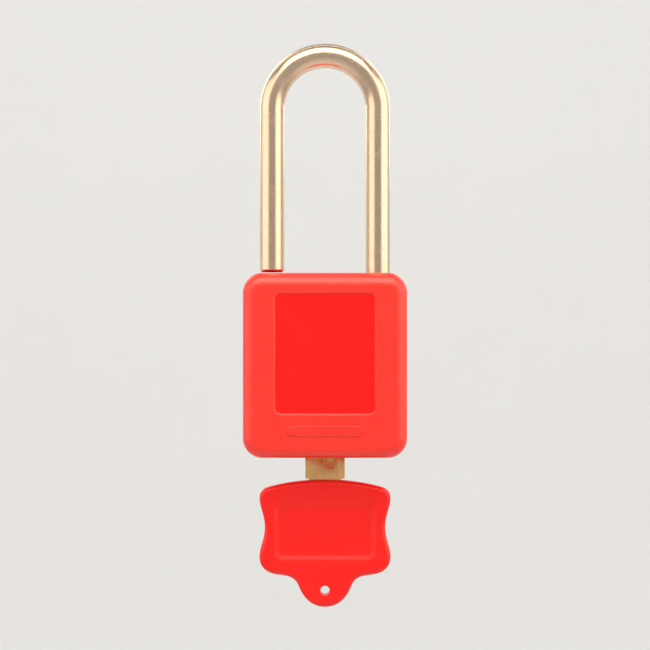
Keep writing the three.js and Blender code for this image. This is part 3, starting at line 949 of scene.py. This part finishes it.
def key_blade():
    half, edge = BLADE[3], 0.12
    rings = [[(x, y, z) for x, z in reversed(blade_outline())] for y in (-half, half)]
    blade = made("key_blade_fine", *loft(rings), (KEY_METAL_AND_RED_REFLECTION,))
    round_edges(blade, edge)
    carve(blade, [blade_groove()])
    return finished(blade, "key", "key_metal", "key_blade")


key_blade()


# ------------------------------------------------------------------ cylinder


def pin_chambers(x0, x1):
    """The six pins' bores as tools."""
    return [rod(PIN_CHAMBER, x0, x1, (0, z), "X", SMALL_ROUND) for z in PIN_HEIGHTS]


def plug():
    """The turned plug: keyway with its ward, pin chambers, clip groove and the tail's slot."""
    radius, low, high = PLUG[3], PLUG[4], PLUG[5]
    tail, step, groove, groove_room, lead = 4.9, 26, 4, 0.15, 0.25
    groove_low, groove_high = CLIP[4] - groove_room, CLIP[5] + groove_room
    profile = [
        (radius - lead, low),
        (radius, low + lead),
        (radius, step - lead),
        (tail, step),
        (tail, groove_low),
        (groove, groove_low),
        (groove, groove_high),
        (tail, groove_high),
        (tail, high - lead),
        (tail - lead, high),
    ]
    barrel = turned("cylinder_plug_fine", profile, materials=(PLUG_BRASS,))
    keyway_left, keyway_right, room = -4.6, 3.6, BLADE[3] + GAP
    ward_left, ward_right, ward_face = 0.7, 1.9, -0.85
    slot_half, slot_low = 1.3, 28
    keyway = block(keyway_left, keyway_right, -room, room, -1, BLADE[5] + GAP)
    carve(keyway, [block(ward_left, ward_right, -room - 1, ward_face, -2, BLADE[5] + 1)])
    slot = block(-radius, radius, -slot_half, slot_half, slot_low, high + 1)
    carve(barrel, [keyway, *pin_chambers(0, radius + 1), slot])
    return finished(barrel, "plug", "plug_brass", "cylinder_plug")


plug()


def housing():
    """The cylinder's barrel with the tower of pin chambers and the seat of the strip over them."""
    low, high, radius = HOUSING[4], HOUSING[5], HOUSING[3]
    lead, step, tail_bore, strip_seat = 0.2, 26.3, 5.2, STRIP[1] + GAP
    profile = [
        (radius - lead, low),
        (radius, low + lead),
        (radius, high - lead),
        (radius - lead, high),
    ]
    barrel = turned("cylinder_housing_fine", profile, materials=(BRASS,))
    carve(barrel, [block(HOUSING[0], 0, -TOWER_HALF, TOWER_HALF, low, high)], "UNION")
    strip_room = (STRIP[2] - GAP, STRIP[3] + GAP, STRIP[4] - GAP, STRIP[5] + GAP)
    tools = [
        rod(PLUG[3] + GAP, 0, step),
        rod(tail_bore, step - GAP, high + 1),
        block(HOUSING[0] - 1, strip_seat, *strip_room),
        rod(SCREW_HOLE, SCREW[4] - GAP, high + 1, (SCREW_X, 0), sides=SMALL_ROUND),
    ]
    tools += pin_chambers(strip_seat - GAP, 0)
    carve(barrel, tools)
    return finished(barrel, "case", "cylinder_brass", "cylinder_housing")


housing()


def spring_cover():
    strip = block(*STRIP, name="pin_spring_cover_fine", materials=(BRASS,))
    round_edges(strip, 0.12)
    return finished(strip, "case", "cylinder_brass", "pin_spring_cover")


spring_cover()


def screw():
    """The slotted screw, with rings in place of its thread."""
    low, high, head = SCREW[4], SCREW[5], SCREW[3]
    shank, root, pitch, tip, lead, sides = 0.95, 0.8, 0.4, 0.3, 0.2, 40
    slot_half, slot_depth = 0.25, 0.8
    profile = [(shank - tip, low), (root, low + tip)]
    z = low + tip
    while z + pitch < HOUSING[5]:
        profile += [(root, z), (shank, z + pitch / 2)]
        z += pitch
    profile += [(shank, z + pitch / 2), (shank, SCREW_HEAD_LOW), (head, SCREW_HEAD_LOW)]
    profile += [(head, high - 3 * lead), (head - lead, high - lead), (head - 3 * lead, high)]
    bolt = turned("cylinder_screw_fine", profile, (SCREW_X, 0), sides=sides, materials=(ZINC,))
    left, right = SCREW_X - head - 1, SCREW_X + head + 1
    carve(bolt, [block(left, right, -slot_half, slot_half, high - slot_depth, high + 1)])
    return finished(bolt, "case", "screw_steel", "cylinder_screw")


screw()


def tail_cam():
    """The cam: a disc with a tenon below, a hub above and the eccentric pin on top."""
    low, high = PLUG[5] + GAP, CAM[5]
    disc, disc_top, hub, hub_top, lead = 5.4, 32.3, 3.6, 34.8, 0.25
    tenon_half, throw, pin_radius, pin_lead = 1, 1.5, 1, 0.2
    profile = [
        (disc - lead, low),
        (disc, low + lead),
        (disc, disc_top - lead),
        (disc - lead, disc_top),
        (hub, disc_top),
        (hub, hub_top - lead),
        (hub - lead, hub_top),
    ]
    cam = turned("tail_cam_fine", profile, materials=(BRASS,))
    pin_profile = [(pin_radius, hub_top - 1), (pin_radius, high - pin_lead)]
    pin_profile.append((pin_radius - pin_lead, high))
    pin = turned("tool", pin_profile, (throw, 0), sides=SMALL_ROUND)
    tenon = block(-hub, hub, -tenon_half, tenon_half, CAM[4], low + 1)
    carve(cam, [tenon, pin], "UNION")
    return finished(cam, "plug", "cylinder_brass", "tail_cam")


tail_cam()


def retaining_clip():
    inner, mouth_half = 4.3, 1.5
    ring = [(CLIP[1], CLIP[4]), (CLIP[1], CLIP[5])]
    clip = turned("plug_retaining_clip_fine", ring, materials=(STEEL,))
    below, above = CLIP[4] - 1, CLIP[5] + 1
    mouth = block(-mouth_half, mouth_half, 0, CLIP[1] + 1, below, above)
    carve(clip, [rod(inner, below, above), mouth])
    return finished(clip, "plug", "spring_steel", "plug_retaining_clip")


retaining_clip()


def slide():
    """The locking slide: a plate with a tongue towards the toe and a slot for the cam's pin."""
    x0, x1, y0, y1, low, high = SLIDE
    plate_left, tongue_side, edge = -2, 1.5, 0.15
    slot = (0.08, 2.92, -2.8, 1.3)
    plate = block(plate_left, x1, y0, y1, low, high, "locking_slide_fine", (PLATE_STEEL,))
    carve(plate, [block(x0, plate_left + 1, tongue_side, y1, low, high)], "UNION")
    round_edges(plate, edge)
    carve(plate, [block(*slot, low - 1, high + 1)])
    return finished(plate, "locking_slide", "slide_steel", "locking_slide")


slide()


def pin_stack(number):
    """One chamber's key pin, spool-shaped driver and spring."""
    lead, tip, waist_depth, waist_half, neck_half = 0.15, 0.35, 0.2, 0.4, 0.6
    x0, x1, _, _, z0, z1 = span(f"key_pin_{number}")
    radius, centre = (z1 - z0) / 2, (0, (z0 + z1) / 2)
    profile = [(tip, x0), (tip + 0.1, x0 + 0.05), (radius - 0.1, x0 + 0.55), (radius, x0 + 0.75)]
    profile += [(radius, x1 - lead), (radius - lead, x1)]
    key_pin = turned(f"key_pin_{number}_fine", profile, centre, "X", SMALL_ROUND, (BRASS,))
    finished(key_pin, "plug", "cylinder_brass", f"key_pin_{number}")

    x0, x1, _, _, _, _ = span(f"driver_pin_{number}")
    waist, middle = radius - waist_depth, (x0 + x1) / 2
    profile = [(radius - lead, x0), (radius, x0 + lead), (radius, middle - neck_half)]
    profile += [(waist, middle - waist_half), (waist, middle + waist_half)]
    profile += [(radius, middle + neck_half), (radius, x1 - lead), (radius - lead, x1)]
    driver = turned(f"driver_pin_{number}_fine", profile, centre, "X", SMALL_ROUND, (DRIVER_STEEL,))
    finished(driver, "case", "driver_steel", f"driver_pin_{number}")

    x0, x1, y0, y1, _, _ = span(f"pin_spring_{number}")
    thin, turns = 0.14, 5
    size = ((y1 - y0) / 2 - thin, thin, x0 + thin, x1 - thin, turns)
    spring = coil(f"pin_spring_{number}_fine", *size, centre, "X", STEEL)
    finished(spring, "case", "spring_steel", f"pin_spring_{number}", angle=60)


for number in range(1, PIN_COUNT + 1):
    pin_stack(number)


# ------------------------------------------------------------------ studio


def backdrop():
    """A pale floor well below the hanging padlock, swept up into a round wall."""
    floor, wall, radius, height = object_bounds()[0][2] - 0.45, 1.5, 0.7, 2.4
    centre_patch, sides, steps = 0.3, 96, 16
    profile = [(centre_patch, floor), (wall - radius, floor)]
    for k in range(1, steps + 1):
        angle = math.pi / 2 * k / steps
        out = wall - radius + radius * math.sin(angle)
        profile.append((out, floor + radius * (1 - math.cos(angle))))
    profile.append((wall, floor + height))
    vertices = []
    for out, z in profile:
        for i in range(sides):
            angle = 2 * math.pi * i / sides
            vertices.append((out * math.cos(angle), out * math.sin(angle), z))
    faces = [tuple(range(sides))]
    for ring in range(len(profile) - 1):
        for i in range(sides):
            j = (i + 1) % sides
            here, there = ring * sides, (ring + 1) * sides
            faces.append((here + i, there + i, there + j, here + j))
    mesh = bpy.data.meshes.new("sweep")
    mesh.from_pydata(vertices, [], faces)
    paper = Material("sweep_paper", (0.79, 0.81, 0.83), 0.9)
    paper.tinted(paper.ranged(paper.noise(6, 2), 0, 0.25), (0.75, 0.77, 0.79))
    mesh.materials.append(paper.made)
    sweep = bpy.data.objects.new("sweep", mesh)
    bpy.context.scene.collection.objects.link(sweep)
    smooth(sweep)


backdrop()


def softbox(name, place, aim, width, height, power, colour):
    """A rectangular lamp at a place, turned to what it aims at."""
    lamp = bpy.data.lights.new(name, "AREA")
    lamp.shape = "RECTANGLE"
    lamp.size = width
    lamp.size_y = height
    lamp.energy = power
    lamp.color = colour
    obj = bpy.data.objects.new(name, lamp)
    obj.location = place
    obj.rotation_mode = "QUATERNION"
    obj.rotation_quaternion = (Vector(aim) - Vector(place)).to_track_quat("-Z", "Y")
    bpy.context.scene.collection.objects.link(obj)


CENTRE = (CAD_BOUNDS[0] + CAD_BOUNDS[1]) / 2
WARM = (1.0, 0.88, 0.74)
NEUTRAL = (1.0, 0.95, 0.89)
WHITE = (1.0, 0.98, 0.96)


def around(azimuth, elevation, distance):
    """A place around the padlock: azimuth 0 is in front, 90 to its right."""
    turn, rise = math.radians(azimuth), math.radians(elevation)
    flat = distance * math.cos(rise)
    across, behind, up = flat * math.sin(turn), -flat * math.cos(turn), distance * math.sin(rise)
    return CENTRE + Vector((across, behind, up))


softbox("key_right", around(68, 16, 0.82), CENTRE, 1.1, 0.6, 3.6, WARM)
softbox("key_left", around(-68, 16, 0.82), CENTRE, 1.1, 0.6, 2.7, WARM)
softbox("top", around(0, 58, 0.7), CENTRE, 0.9, 0.5, 5.7, WARM)
softbox("rear_right", around(145, 25, 0.9), CENTRE, 0.4, 0.6, 1.4, NEUTRAL)
softbox("rear_left", around(-145, 25, 0.9), CENTRE, 0.4, 0.6, 1.4, NEUTRAL)
softbox("wall", (0.0, 0.3, 0.75), (0, 1.5, 0), 1.6, 0.5, 8.0, WHITE)


def world():
    """A faint warm fill from all round."""
    scene = bpy.context.scene
    scene.world = bpy.data.worlds.new("studio")
    scene.world.use_nodes = True
    background = scene.world.node_tree.nodes["Background"]
    background.inputs["Color"].default_value = (0.95, 0.90, 0.84, 1)
    background.inputs["Strength"].default_value = 0.14
    scene.view_settings.view_transform = "Standard"


world()


def camera():
    """The photo's straight front view, with the padlock filling most of the height."""
    lens, sensor, fill = 135, 36, 0.88
    data = bpy.data.cameras.new("camera")
    data.lens = lens
    data.sensor_width = sensor
    obj = bpy.data.objects.new("camera", data)
    low, high = CAD_BOUNDS
    distance = (high[2] - low[2]) / fill * lens / sensor - low[1]
    obj.location = (CENTRE.x, -distance, CENTRE.z)
    obj.rotation_euler = (math.pi / 2, 0, 0)
    bpy.context.scene.collection.objects.link(obj)
    bpy.context.scene.camera = obj


camera()
